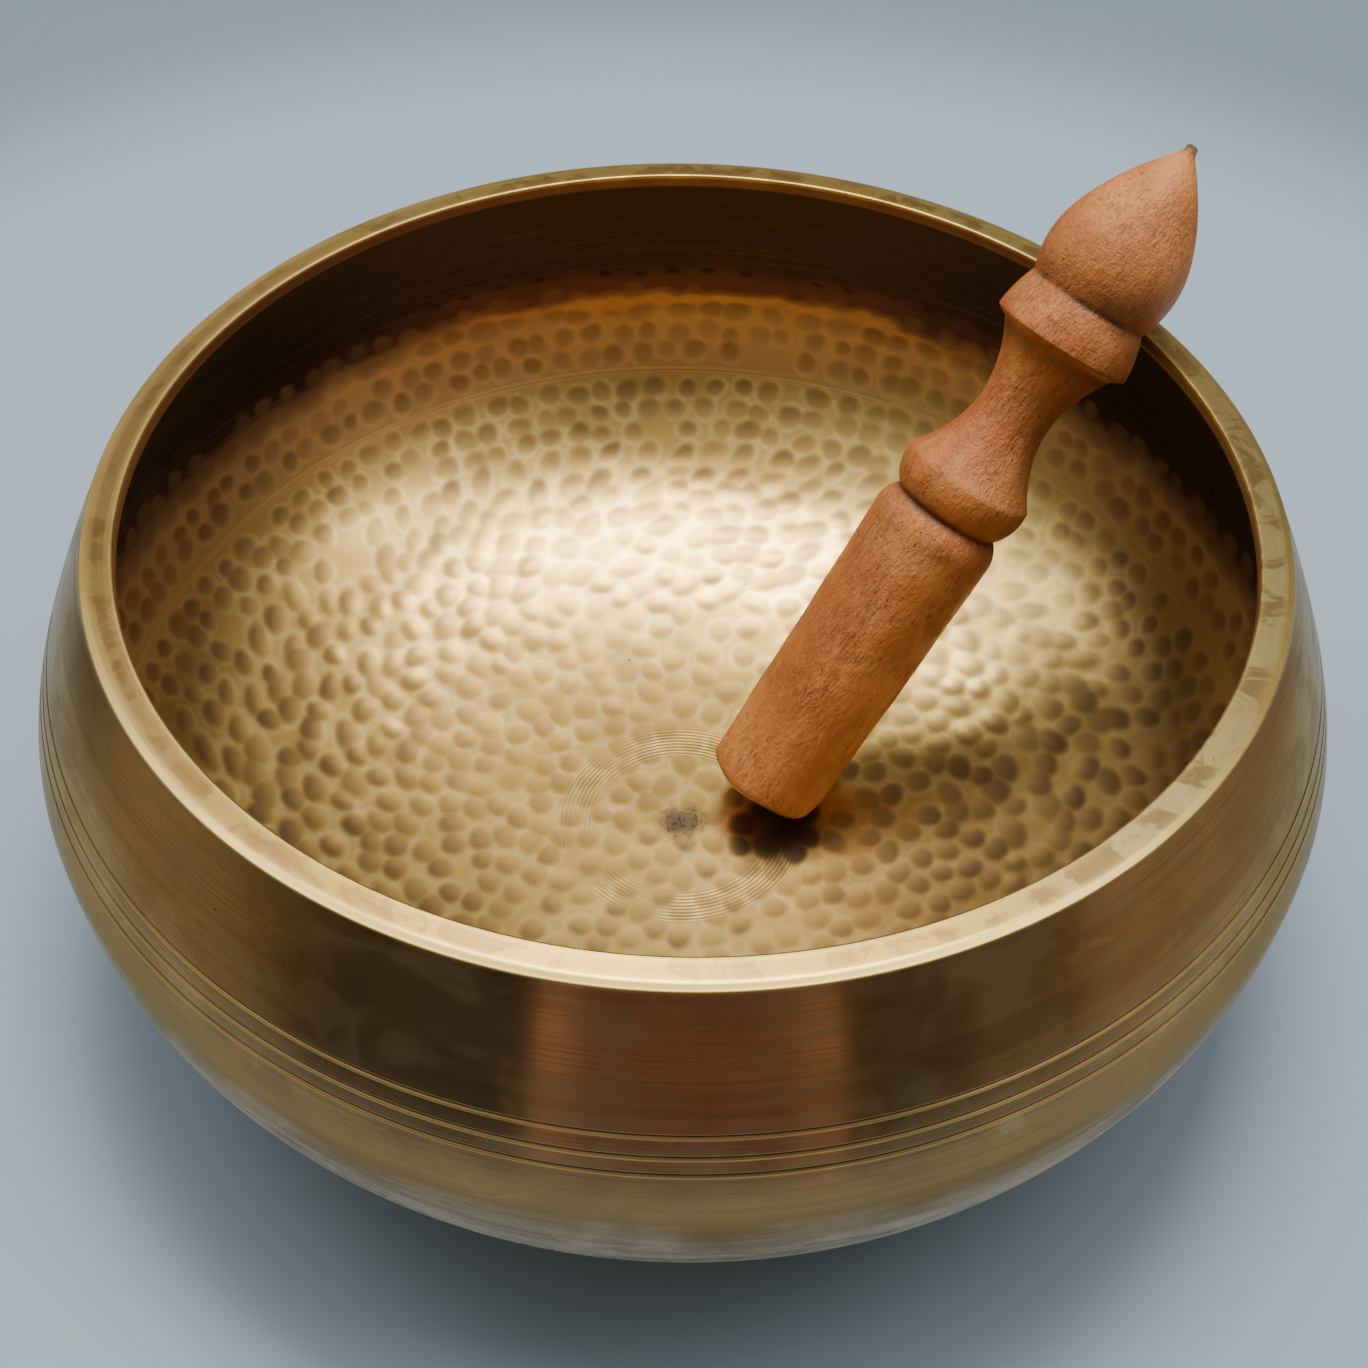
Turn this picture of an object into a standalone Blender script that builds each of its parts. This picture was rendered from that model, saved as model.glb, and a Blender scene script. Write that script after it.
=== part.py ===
"""A singing bowl with its wooden striker leaning in it, in metres, +Z up.

The origin is the centre of the flat foot under the bowl, and +Z is the bowl's axis.  The bowl is one
shell of beaten bronze that was then turned: a flat lip with chamfered edges, a leaning shoulder with
three engraved lines, a full belly and a round bottom with a flat foot.  The striker is one turned
piece of hardwood: a barrel that strikes and rubs the rim, a bead, a hollow waist that the hand holds,
a collar and a pointed finial.  Its lower end stands on the bowl's floor, and the neck between its
collar and its finial leans on the rim.
"""

import math

import bpy
from mathutils import Vector

# Bowl
HEIGHT = 0.1155
RIM_BORE_RADIUS = 0.1158
LIP_RADIUS = 0.1226
LIP_INNER_CHAMFER = 0.0004
LIP_OUTER_CHAMFER = 0.0011
LIP_BAND = 0.0032              # height of the upright face inside the lip
BELLY_RADIUS = 0.140
BELLY_DROP = 0.044             # from the rim down to the widest place
FOOT_RADIUS = 0.035
WALL = 0.0038
LIP_UNDERCUT = 0.020           # height over which the thick lip thins down to the wall
SHOULDER_POWER = 1.29          # how the shoulder leans in from the belly to the lip
OUTSIDE_POWER = 2.35           # roundness of the outside, from the belly to the foot
INSIDE_POWER = 2.60            # roundness of the inside, from the belly to the floor's centre
GROOVE_DROPS = (0.0262, 0.0304, 0.0340)
GROOVE_WIDTH = 0.0008
GROOVE_DEPTH = 0.0004

# Points along the bowl's outline, and round it
SHOULDER_POINTS = 3
WALL_STEPS = 6
OUTSIDE_STEPS = 12
INSIDE_STEPS = 14
BOWL_STEPS = 72

# Striker, as distances along its axis from the lower end, and radii there
STRIKER_LENGTH = 0.1785
STRIKER_END = (0.0012, 0.0143)
BARREL_TOP = (0.0755, 0.0156)
BARREL_GROOVE = (0.0827, 0.0129)
BEAD_EDGE = (0.0923, 0.0158)
COLLAR_EDGE = (0.1282, 0.0161)
FINIAL_NECK = (0.1394, 0.0144)
FINIAL_SHOULDER = (0.1580, 0.0139)
STUB = (0.1762, 0.0024)
STUB_END_RADIUS = 0.0020
STUB_CHAMFER = 0.0004
END_CHAMFER = 0.0011

# How far each stretch of the striker's outline stands out from the straight line between its ends
BARREL_TOP_BULGE = 0.0008
BEAD_BULGE = 0.0009
WAIST_BULGE = -0.0067          # hollow
COLLAR_BULGE = 0.0014
FINIAL_BULGE = 0.0018
TIP_BULGE = 0.0009
BOW_STEP = 0.0024              # about this far between two points of a bowed stretch
STRIKER_STEPS = 32

# Where the striker stands: its lower end's centre, its heading and its rise from the horizontal
STRIKER_FOOT = (0.0200, 0.0056, 0.0127)
STRIKER_HEADING = math.radians(36.0)
STRIKER_RISE = math.radians(52.95)

BRONZE = (0.45, 0.30, 0.14)
HARDWOOD = (0.21, 0.075, 0.035)


def clear_scene():
    for old in list(bpy.data.objects):
        bpy.data.objects.remove(old, do_unlink=True)


def make_material(name, colour, roughness, metallic):
    material = bpy.data.materials.new(name)
    material.use_nodes = True
    shader = material.node_tree.nodes["Principled BSDF"]
    shader.inputs["Base Color"].default_value = (*colour, 1.0)
    shader.inputs["Roughness"].default_value = roughness
    shader.inputs["Metallic"].default_value = metallic
    material.diffuse_color = (*colour, 1.0)
    return material


def shoulder_radius(drop):
    """Outside radius at a depth below the rim, between the lip and the belly."""
    rise = (BELLY_DROP - drop) / (BELLY_DROP - LIP_OUTER_CHAMFER)
    return BELLY_RADIUS - (BELLY_RADIUS - LIP_RADIUS) * rise ** SHOULDER_POWER


def quarter_oval(widest, narrowest, top, bottom, power, steps):
    """Points (radius, height) of a rounded quarter, from its widest place down to its lowest."""
    points = []
    for i in range(1, steps + 1):
        angle = 0.5 * math.pi * i / steps
        across = math.cos(angle) ** (2.0 / power) if i < steps else 0.0
        down = math.sin(angle) ** (2.0 / power)
        points.append((narrowest + (widest - narrowest) * across, top - (top - bottom) * down))
    return points


def outside_profile():
    """The outside of the bowl from the lip's outer edge down to the foot's centre."""
    points = [(LIP_RADIUS - LIP_OUTER_CHAMFER, HEIGHT)]
    shoulder_step = (GROOVE_DROPS[0] - LIP_OUTER_CHAMFER) / (SHOULDER_POINTS + 1)
    for i in range(SHOULDER_POINTS + 1):
        drop = LIP_OUTER_CHAMFER + i * shoulder_step
        points.append((shoulder_radius(drop), HEIGHT - drop))
    half = 0.5 * GROOVE_WIDTH
    for drop in GROOVE_DROPS:
        points.append((shoulder_radius(drop - half), HEIGHT - drop + half))
        points.append((shoulder_radius(drop) - GROOVE_DEPTH, HEIGHT - drop))
        points.append((shoulder_radius(drop + half), HEIGHT - drop - half))
    below_grooves = 0.5 * (GROOVE_DROPS[-1] + BELLY_DROP)
    points.append((shoulder_radius(below_grooves), HEIGHT - below_grooves))
    points.append((BELLY_RADIUS, HEIGHT - BELLY_DROP))
    points += quarter_oval(BELLY_RADIUS, FOOT_RADIUS, HEIGHT - BELLY_DROP, 0.0, OUTSIDE_POWER, OUTSIDE_STEPS)
    points.append((0.0, 0.0))
    return points


def inside_profile():
    """The inside of the bowl from the floor's centre up to the lip's inner edge."""
    belly_height = HEIGHT - BELLY_DROP
    points = quarter_oval(BELLY_RADIUS - WALL, 0.0, belly_height, WALL, INSIDE_POWER, INSIDE_STEPS)
    points.reverse()
    points.append((BELLY_RADIUS - WALL, belly_height))
    lip_extra = shoulder_radius(LIP_BAND) - WALL - RIM_BORE_RADIUS
    for i in range(1, WALL_STEPS):
        drop = BELLY_DROP - (BELLY_DROP - LIP_BAND) * i / WALL_STEPS
        lip_share = max(0.0, 1.0 - (drop - LIP_BAND) / LIP_UNDERCUT) ** 2
        points.append((shoulder_radius(drop) - WALL - lip_extra * lip_share, HEIGHT - drop))
    points.append((RIM_BORE_RADIUS, HEIGHT - LIP_BAND))
    points.append((RIM_BORE_RADIUS, HEIGHT - LIP_INNER_CHAMFER))
    points.append((RIM_BORE_RADIUS + LIP_INNER_CHAMFER, HEIGHT))
    return points


def bowed(start, end, bulge):
    """Points after start up to end, on a parabola that stands out from the line between them by bulge."""
    (along_0, radius_0), (along_1, radius_1) = start, end
    chord = math.hypot(along_1 - along_0, radius_1 - radius_0)
    out_along = (radius_0 - radius_1) / chord
    out_radius = (along_1 - along_0) / chord
    steps = round(chord / BOW_STEP)
    points = []
    for i in range(1, steps + 1):
        t = i / steps
        out = bulge * 4.0 * t * (1.0 - t)
        along = along_0 + (along_1 - along_0) * t + out_along * out
        radius = radius_0 + (radius_1 - radius_0) * t + out_radius * out
        points.append((along, radius))
    return points


def striker_profile():
    """The striker's outline as (distance along the axis, radius), from its lower end to its tip."""
    points = [(0.0, 0.0), (0.0, STRIKER_END[1] - END_CHAMFER), STRIKER_END, BARREL_TOP]
    points += bowed(BARREL_TOP, BARREL_GROOVE, BARREL_TOP_BULGE)
    points += bowed(BARREL_GROOVE, BEAD_EDGE, BEAD_BULGE)
    points += bowed(BEAD_EDGE, COLLAR_EDGE, WAIST_BULGE)
    points += bowed(COLLAR_EDGE, FINIAL_NECK, COLLAR_BULGE)
    points += bowed(FINIAL_NECK, FINIAL_SHOULDER, FINIAL_BULGE)
    points += bowed(FINIAL_SHOULDER, STUB, TIP_BULGE)
    points += [(STRIKER_LENGTH - STUB_CHAMFER, STUB_END_RADIUS), (STRIKER_LENGTH, 0.0)]
    return points


def turned_object(name, profile, steps, material, collection):
    """A turned solid about its own Z axis from a profile of (radius, height), with a Screw modifier."""
    mesh = bpy.data.meshes.new(name)
    vertices = [(radius, 0.0, height) for radius, height in profile]
    edges = [(i, i + 1) for i in range(len(vertices) - 1)]
    mesh.from_pydata(vertices, edges, [])
    mesh.materials.append(material)
    piece = bpy.data.objects.new(name, mesh)
    collection.objects.link(piece)
    screw = piece.modifiers.new("Turn", "SCREW")
    screw.axis = "Z"
    screw.angle = 2.0 * math.pi
    screw.steps = steps
    screw.render_steps = steps
    screw.use_merge_vertices = True
    screw.merge_threshold = 0.00001
    screw.use_smooth_shade = True
    return piece


def make_bowl(collection):
    material = make_material("bronze", BRONZE, 0.32, 1.0)
    return turned_object("bowl", inside_profile() + outside_profile(), BOWL_STEPS, material, collection)


def make_striker(collection):
    material = make_material("hardwood", HARDWOOD, 0.55, 0.0)
    profile = [(radius, along) for along, radius in reversed(striker_profile())]
    striker = turned_object("striker", profile, STRIKER_STEPS, material, collection)
    flat = math.cos(STRIKER_RISE)
    heading = Vector((flat * math.cos(STRIKER_HEADING), flat * math.sin(STRIKER_HEADING),
                      math.sin(STRIKER_RISE)))
    striker.rotation_mode = "QUATERNION"
    striker.rotation_quaternion = heading.to_track_quat("Z", "Y")
    striker.location = STRIKER_FOOT
    return striker


def main():
    clear_scene()
    collection = bpy.data.collections.new("singing_bowl")
    bpy.context.scene.collection.children.link(collection)
    make_bowl(collection)
    make_striker(collection)


main()
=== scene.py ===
"""The look of the singing bowl and its striker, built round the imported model.

The bowl's visible mesh is one turned shell whose inside is beaten: every hammer mark is a shallow cup
in the mesh.  The metal is darker in the cups, and brighter round them where hands and cloths rub it.
The striker is one turned stick with slight unevenness from the knife and the lathe.  Lengths are in
metres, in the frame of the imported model.
"""

import math
from random import Random

import bpy
import numpy as np
from mathutils import Matrix, Vector


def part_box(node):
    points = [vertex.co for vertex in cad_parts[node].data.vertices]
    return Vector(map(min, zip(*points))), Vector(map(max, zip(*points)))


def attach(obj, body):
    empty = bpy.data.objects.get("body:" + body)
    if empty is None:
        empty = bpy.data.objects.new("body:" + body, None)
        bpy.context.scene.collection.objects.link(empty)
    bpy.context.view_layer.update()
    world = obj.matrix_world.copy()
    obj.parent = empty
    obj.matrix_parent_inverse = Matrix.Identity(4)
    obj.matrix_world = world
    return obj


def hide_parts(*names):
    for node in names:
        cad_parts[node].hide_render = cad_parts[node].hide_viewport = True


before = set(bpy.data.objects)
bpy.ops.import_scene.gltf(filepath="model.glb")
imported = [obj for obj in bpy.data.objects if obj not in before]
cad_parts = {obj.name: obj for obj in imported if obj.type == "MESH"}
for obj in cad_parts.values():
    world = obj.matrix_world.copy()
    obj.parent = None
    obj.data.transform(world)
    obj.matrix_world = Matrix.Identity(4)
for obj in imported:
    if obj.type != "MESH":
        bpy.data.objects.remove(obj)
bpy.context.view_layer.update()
bowl_low, bowl_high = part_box("bowl")

# The bowl's driving sizes, read from the frame or repeated from the design
HEIGHT = bowl_high.z
BELLY_RADIUS = 0.5 * (bowl_high.x - bowl_low.x)
RIM_BORE_RADIUS = 0.1158
LIP_RADIUS = 0.1226
LIP_INNER_ROUND = 0.0005
LIP_CROWN = 0.00018             # how far the lip's flat falls towards its outer edge
LIP_BEVEL = 0.0012              # width of the bevel outside the flat, painted bright: wear and a painted highlight
LIP_BEVEL_SLOPE = 0.36
LIP_EDGE_ROUND = 0.0004
LIP_OUTER_CHAMFER = 0.0011
LIP_BAND = 0.0032
BELLY_DROP = 0.044
BELLY_HEIGHT = HEIGHT - BELLY_DROP
FOOT_RADIUS = 0.035
WALL = 0.0038
LIP_UNDERCUT = 0.020
SHOULDER_POWER = 1.29
OUTSIDE_POWER = 2.35
INSIDE_POWER = 2.60
GROOVE_DROPS = (0.0262, 0.0304, 0.0340)
GROOVE_HALF_WIDTH = 0.00034
GROOVE_DEPTH = 0.00032
BURR_DROP = 0.00050             # the turned burr below each groove, painted bright as a highlight
BURR_HEIGHT, BURR_WIDTH, BURR_SHINE = 0.00004, 0.00018, 0.00013
GROOVE_DARK_WIDTH = 0.00024
GROOVE_ROWS = np.linspace(-0.0008, 0.0011, 15)      # rows of points across a groove and burr
SHOULDER_STEP = 0.0009          # between the rows elsewhere

# The striker's driving sizes: it leans away from the near side, to the right
STRIKER_LENGTH = 0.1785
STRIKER_FOOT = Vector((0.0200, 0.0056, 0.0127))
STRIKER_HEADING = math.radians(36.0)
STRIKER_RISE = math.radians(52.95)

# The camera, placed from the rim's centre
CAMERA_DISTANCE = 3.3084 * RIM_BORE_RADIUS
CAMERA_ELEVATION = math.radians(41.32)
CAMERA_TILT = math.radians(-6.13)
CAMERA_ROLL = math.radians(1.40)
CAMERA_LENS = 48.68
CAMERA_SENSOR = 36.0            # both in millimetres

SEGMENTS = 960
ROW_STEP = 0.00062
STRIKER_SEGMENTS = 160
SEED = 11


# ---- bowl shape

def shoulder_radius(drop):
    """The outside's radius between lip and belly, at a drop below the rim."""
    rise = np.clip((BELLY_DROP - drop) / (BELLY_DROP - LIP_OUTER_CHAMFER), 0.0, None)
    return BELLY_RADIUS - (BELLY_RADIUS - LIP_RADIUS) * rise ** SHOULDER_POWER


def quarter_oval(widest, narrowest, top, bottom, power, steps):
    """Points (radius, height) of a rounded quarter, from its widest place down to its lowest."""
    angle = np.linspace(0.0, 0.5 * math.pi, steps)
    across = np.clip(np.cos(angle), 0.0, 1.0) ** (2.0 / power)
    down = np.sin(angle) ** (2.0 / power)
    across[-1] = 0.0
    return np.stack([narrowest + (widest - narrowest) * across, top - (top - bottom) * down], 1)


def curve_length(points):
    """Distance along the polyline of each of its points."""
    return np.concatenate([[0.0], np.cumsum(np.hypot(*np.diff(points, axis=0).T))])


def resample(points, step):
    """The same polyline with points an even step apart."""
    length = curve_length(points)
    count = max(2, int(round(length[-1] / step)) + 1)
    along = np.linspace(0.0, length[-1], count)
    return np.stack([np.interp(along, length, points[:, i]) for i in (0, 1)], 1)


def inside_curve():
    """The inside from the floor's centre up to the underside of the lip's upright band."""
    floor = quarter_oval(BELLY_RADIUS - WALL, 0.0, BELLY_HEIGHT, WALL, INSIDE_POWER, 400)[::-1]
    drop = np.linspace(BELLY_DROP, LIP_BAND, 120)[1:]
    lip_extra = shoulder_radius(LIP_BAND) - WALL - RIM_BORE_RADIUS
    lip_share = np.clip(1.0 - (drop - LIP_BAND) / LIP_UNDERCUT, 0.0, None) ** 2
    wall = np.stack([shoulder_radius(drop) - WALL - lip_extra * lip_share, HEIGHT - drop], 1)
    return np.concatenate([floor, wall])


def rounded(centre, radius, start, end, steps):
    """Points of an arc in the profile's plane, from one angle to another, in degrees."""
    angle = np.radians(np.linspace(start, end, steps))
    return np.stack([centre[0] + radius * np.cos(angle), centre[1] + radius * np.sin(angle)], 1)


def lip_curve():
    """From the foot of the upright band over the crowned lip to its outer edge, and where it is painted
    bright, partly for wear and partly as a painted highlight.
    """
    r = LIP_INNER_ROUND
    upright = np.array([[RIM_BORE_RADIUS, HEIGHT - LIP_BAND], [RIM_BORE_RADIUS, HEIGHT - r]])
    band = resample(upright, 0.0005)[:-1]
    inner = rounded((RIM_BORE_RADIUS + r, HEIGHT - r), r, 180.0, 95.0, 6)
    bevel_start = LIP_RADIUS - LIP_EDGE_ROUND - LIP_BEVEL
    across = np.linspace(RIM_BORE_RADIUS + r, bevel_start, 9)
    share = (across - across[0]) / (across[-1] - across[0])
    top = np.stack([across, HEIGHT - LIP_CROWN * share], 1)
    bevel_end = (LIP_RADIUS - LIP_EDGE_ROUND, HEIGHT - LIP_CROWN - LIP_BEVEL * LIP_BEVEL_SLOPE)
    bevel = resample(np.array([top[-1], bevel_end]), 0.0003)[1:]
    e = LIP_EDGE_ROUND
    edge = rounded((bevel_end[0], bevel_end[1] - e), e, 65.0, 5.0, 5)
    wear_and_highlight = [np.zeros(len(band)), np.full(len(inner), 0.3), 0.6 * (2.0 * share - 1.0) ** 4,
              np.ones(len(bevel)), np.linspace(1.0, 0.2, len(edge))]
    return np.concatenate([band, inner, top, bevel, edge]), np.concatenate(wear_and_highlight)


def bell(distance, width):
    """1 at no distance, falling smoothly to nothing over about twice the width."""
    return np.exp(-(distance / width) ** 2)


def outside_curve():
    """The outside from below the lip's outer edge to the foot's centre, where it is painted bright along
    the burrs, and where it is darker in the grooves.
    """
    drop = np.arange(LIP_OUTER_CHAMFER * 1.25, BELLY_DROP, SHOULDER_STEP)
    for groove in GROOVE_DROPS:
        drop = drop[np.abs(drop - groove) > 0.0012]
        drop = np.concatenate([drop, groove + GROOVE_ROWS])
    drop = np.sort(drop)
    radius = shoulder_radius(drop)
    wear_and_highlight = np.zeros(len(drop))
    darkened = np.zeros(len(drop))
    for groove in GROOVE_DROPS:
        cut = np.clip(1.0 - np.abs(drop - groove) / GROOVE_HALF_WIDTH, 0.0, 1.0)
        below = drop - groove - BURR_DROP
        radius = radius - GROOVE_DEPTH * cut + BURR_HEIGHT * bell(below, BURR_WIDTH)
        # a painted highlight along the burr below each groove
        wear_and_highlight = np.maximum(wear_and_highlight, bell(below, BURR_SHINE))
        darkened = np.maximum(darkened, bell(drop - groove, GROOVE_DARK_WIDTH))
    shoulder = np.stack([radius, HEIGHT - drop], 1)
    lower = resample(quarter_oval(BELLY_RADIUS, FOOT_RADIUS, BELLY_HEIGHT, 0.0, OUTSIDE_POWER, 300), 0.0016)
    foot = resample(np.array([[FOOT_RADIUS, 0.0], [0.002, 0.0]]), 0.003)[1:]
    plain = np.zeros(len(lower) + len(foot))
    return (np.concatenate([shoulder, lower, foot]), np.concatenate([wear_and_highlight, plain]),
            np.concatenate([darkened, plain]))


# ---- hammer marks

# The wall was beaten in rounds, one above the other:
# height, half width, length over width, lean from level, and depth in metres
WALL_ROUNDS = (
    (0.0732, 0.0014, 1.60, 0.0, 0.00004),
    (0.0664, 0.0030, 1.10, 0.0, 0.00009),
    (0.0606, 0.0034, 1.40, 0.0, 0.00013),
    (0.0540, 0.0034, 1.00, 0.0, 0.00012),
    (0.0487, 0.0033, 1.05, 0.0, 0.00012),
    (0.0396, 0.0033, 1.05, 0.0, 0.00011),
    (0.0350, 0.0033, 1.05, 0.0, 0.00012),
    (0.0306, 0.0033, 1.10, -0.3, 0.00015),
    (0.0264, 0.0032, 1.50, -0.9, 0.00019),
    (0.0224, 0.0033, 1.60, -0.9, 0.00023),
)
ROUND_PITCH = 0.0076            # from one mark to the next along a round
FLOOR_MARKS_TOP = 0.0208        # height up to which the floor's marks are scattered
SLOPE_START, SLOPE_WIDTH = 0.062, 0.020     # radius where the floor begins to rise; its marks grow there
DARTS = 30000
MARK_SPACING = 0.0058
# Two round patches of the floor, as x, y and radius: one with sparse marks, and one where the cups are
# painted lighter, a painted highlight
SPARSE_PATCH = (0.018, 0.044, 0.024)
HIGHLIGHT_PATCH = (-0.015, 0.060, 0.040)
SPARSE_EXTRA = 0.0024           # how much further apart the marks are in the sparse patch


def in_patch(x, y, patch):
    """How much a place on the floor belongs to a round patch with a soft edge."""
    return math.exp(-((x - patch[0]) ** 2 + (y - patch[1]) ** 2) / patch[2] ** 2)


def floor_spacing(x, y):
    """Least distance between two marks on the floor: they are sparse in a patch on the far side."""
    return MARK_SPACING + SPARSE_EXTRA * in_patch(x, y, SPARSE_PATCH)


def scatter(random, reach):
    """Places on the floor, no two too near to each other, by throwing darts."""
    kept = np.zeros((0, 2))
    for _ in range(DARTS):
        radius = reach * math.sqrt(random.random())
        turn = random.random() * 2.0 * math.pi
        place = np.array([radius * math.cos(turn), radius * math.sin(turn)])
        gap = floor_spacing(*place)
        if len(kept) and np.min(np.sum((kept - place) ** 2, 1)) < gap * gap:
            continue
        kept = np.concatenate([kept, place[None]])
    return kept


def hammer_marks(random, curve, length):
    """Each mark: distance along the curve, azimuth, half width, half length, lean, depth, darkness."""
    marks = []
    for height, size, stretch, lean, depth in WALL_ROUNDS:
        place = np.interp(height, curve[:, 1], length)
        radius = np.interp(place, length, curve[:, 0])
        pitch = ROUND_PITCH * (0.55 + 0.45 * stretch)
        count = int(round(2.0 * math.pi * radius / pitch))
        start = random.random()
        for i in range(count):
            turn = (start + i + random.uniform(-0.20, 0.20)) * 2.0 * math.pi / count
            along = place + random.uniform(-0.0009, 0.0009)
            half_width = size * random.uniform(0.82, 1.10)
            half_length = half_width * stretch * random.uniform(0.9, 1.15)
            tilt = lean * (0.5 + 0.5 * math.sin(turn)) + random.uniform(-0.3, 0.3)
            strength = random.uniform(0.5, 1.2)
            if random.random() > 0.05:
                marks.append((along, turn, half_width, half_length, tilt, depth * strength,
                              random.uniform(0.35, 0.90)))
    reach = np.interp(FLOOR_MARKS_TOP, curve[:, 1], curve[:, 0])
    widest = np.argmax(curve[:, 0])
    for x, y in scatter(random, reach):
        radius = math.hypot(x, y)
        place = np.interp(radius, curve[:widest, 0], length[:widest])
        slope = min(1.0, max(0.0, (radius - SLOPE_START) / SLOPE_WIDTH))
        half_width = random.uniform(0.0033, 0.0040)
        half_length = half_width * (1.0 + random.uniform(0.02, 0.20 + 0.50 * slope))
        turn = math.atan2(y, x)
        # on the flat the marks run towards the near side; on the slope they run round the bowl, leaning
        lean = random.uniform(-0.9, 0.1) * (0.5 + 0.5 * y / max(radius, 0.001))
        tilt = lean if slope > 0.5 else turn + random.uniform(-0.5, 0.5)
        depth = random.uniform(0.00005, 0.00010) + slope * random.uniform(0.00004, 0.00022)
        # the cups are painted lighter where the main highlight lies on the floor: painted highlight
        under_highlight = 1.0 - 0.65 * in_patch(x, y, HIGHLIGHT_PATCH)
        darkness = under_highlight * random.uniform(0.50, 1.05)
        marks.append((place, turn, half_width, half_length, tilt, depth, darkness))
    return marks


def mark_frame(place, turn, surface, along):
    """The point where a mark is struck, and the directions round the bowl and up its side."""
    row = min(len(along) - 2, max(1, int(np.searchsorted(along, place))))
    radius = np.interp(place, along, surface[:, 0, 0])
    point = np.array([radius * math.cos(turn), radius * math.sin(turn),
                      np.interp(place, along, surface[:, 0, 2])])
    around = np.array([-math.sin(turn), math.cos(turn), 0.0])
    rise = surface[row + 1, 0] - surface[row - 1, 0]
    rise = rise / np.linalg.norm(rise)
    up = np.array([rise[0] * math.cos(turn), rise[0] * math.sin(turn), rise[2]])
    return point, around, up, radius


def beat(surface, along, marks):
    """Beats the marks into the inside's grid.

    Returns the height to add along the normals and two masks: how dark each cup is, with painted shade in
    its upper part, and the ring of clean metal round it.
    """
    height, cup, edge, inside = (np.zeros(surface.shape[:2]) for _ in range(4))
    columns = surface.shape[1]
    for place, turn, half_width, half_length, lean, depth, dark in marks:
        reach = 1.5 * max(half_width, half_length)
        first, last = np.searchsorted(along, [place - reach, place + reach])
        point, around, up, radius = mark_frame(place, turn, surface, along)
        span = int(math.ceil(reach / max(radius, 1e-5) / (2.0 * math.pi) * columns)) + 1
        centre = int(round(turn / (2.0 * math.pi) * columns))
        picks = np.arange(centre - span, centre + span + 1) % columns
        if radius < 2.5 * reach:
            picks = np.arange(columns)
        index = np.ix_(np.arange(first, last), picks)
        offset = surface[index] - point
        level, upright = offset @ around, offset @ up
        along_mark = (level * math.cos(lean) + upright * math.sin(lean)) / half_length
        across_mark = (upright * math.cos(lean) - level * math.sin(lean)) / half_width
        # no two blows leave the same outline
        around_mark, bend = np.arctan2(across_mark, along_mark), 900.0 * place + 37.0 * turn
        outline = 1.0 + 0.06 * np.cos(2.0 * around_mark + bend)
        outline = outline + 0.035 * np.cos(3.0 * around_mark - 1.7 * bend)
        q = np.sqrt(along_mark ** 2 + across_mark ** 2) * outline
        height[index] = np.minimum(height[index], -depth * np.clip(1.0 - q ** 2, 0.0, None) ** 1.5)
        # the cups hold patina, and the upper part of each cup is painted darker still: painted shade
        share = np.clip((1.06 - q) / 0.56, 0.0, 1.0)
        patina_and_shade = dark * np.clip(0.88 + 0.42 * upright / half_width, 0.40, 1.20)
        cup[index] = np.maximum(cup[index], patina_and_shade * share * share * (3.0 - 2.0 * share))
        edge[index] = np.maximum(edge[index], bell(q - 1.12, 0.21))
        inside[index] = np.maximum(inside[index], np.clip((1.0 - q) / 0.25, 0.0, 1.0))
    edge *= 1.0 - inside
    return height, cup, edge


BEATEN_TOP = 0.0650             # the wall above this height is turned smooth
BEATEN_FADE = 0.008
CUP_SOFTENING = 4               # how many times the beaten relief is softened, so that cups run together


def soften(grid, times):
    """Averages each value with its neighbours; the columns close on themselves."""
    for _ in range(times):
        grid = 0.5 * grid + 0.25 * (np.roll(grid, 1, 1) + np.roll(grid, -1, 1))
        inner = 0.5 * grid[1:-1] + 0.25 * (grid[2:] + grid[:-2])
        grid = np.concatenate([grid[:1], inner, grid[-1:]])
    return grid


# ---- turned mesh

def turn_grid(profile, columns):
    """The profile (radius, height) turned round the axis: rows along it, columns round it."""
    turn = np.arange(columns) * 2.0 * math.pi / columns
    return np.stack([profile[:, :1] * np.cos(turn), profile[:, :1] * np.sin(turn),
                     np.repeat(profile[:, 1:], columns, 1)], -1)


def profile_normals(profile):
    """Unit normals of the profile, pointing to the side the air is on for a bowl's inside."""
    tangent = np.gradient(profile, axis=0)
    tangent /= np.linalg.norm(tangent, axis=1)[:, None]
    return np.stack([-tangent[:, 1], tangent[:, 0]], 1)


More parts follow.
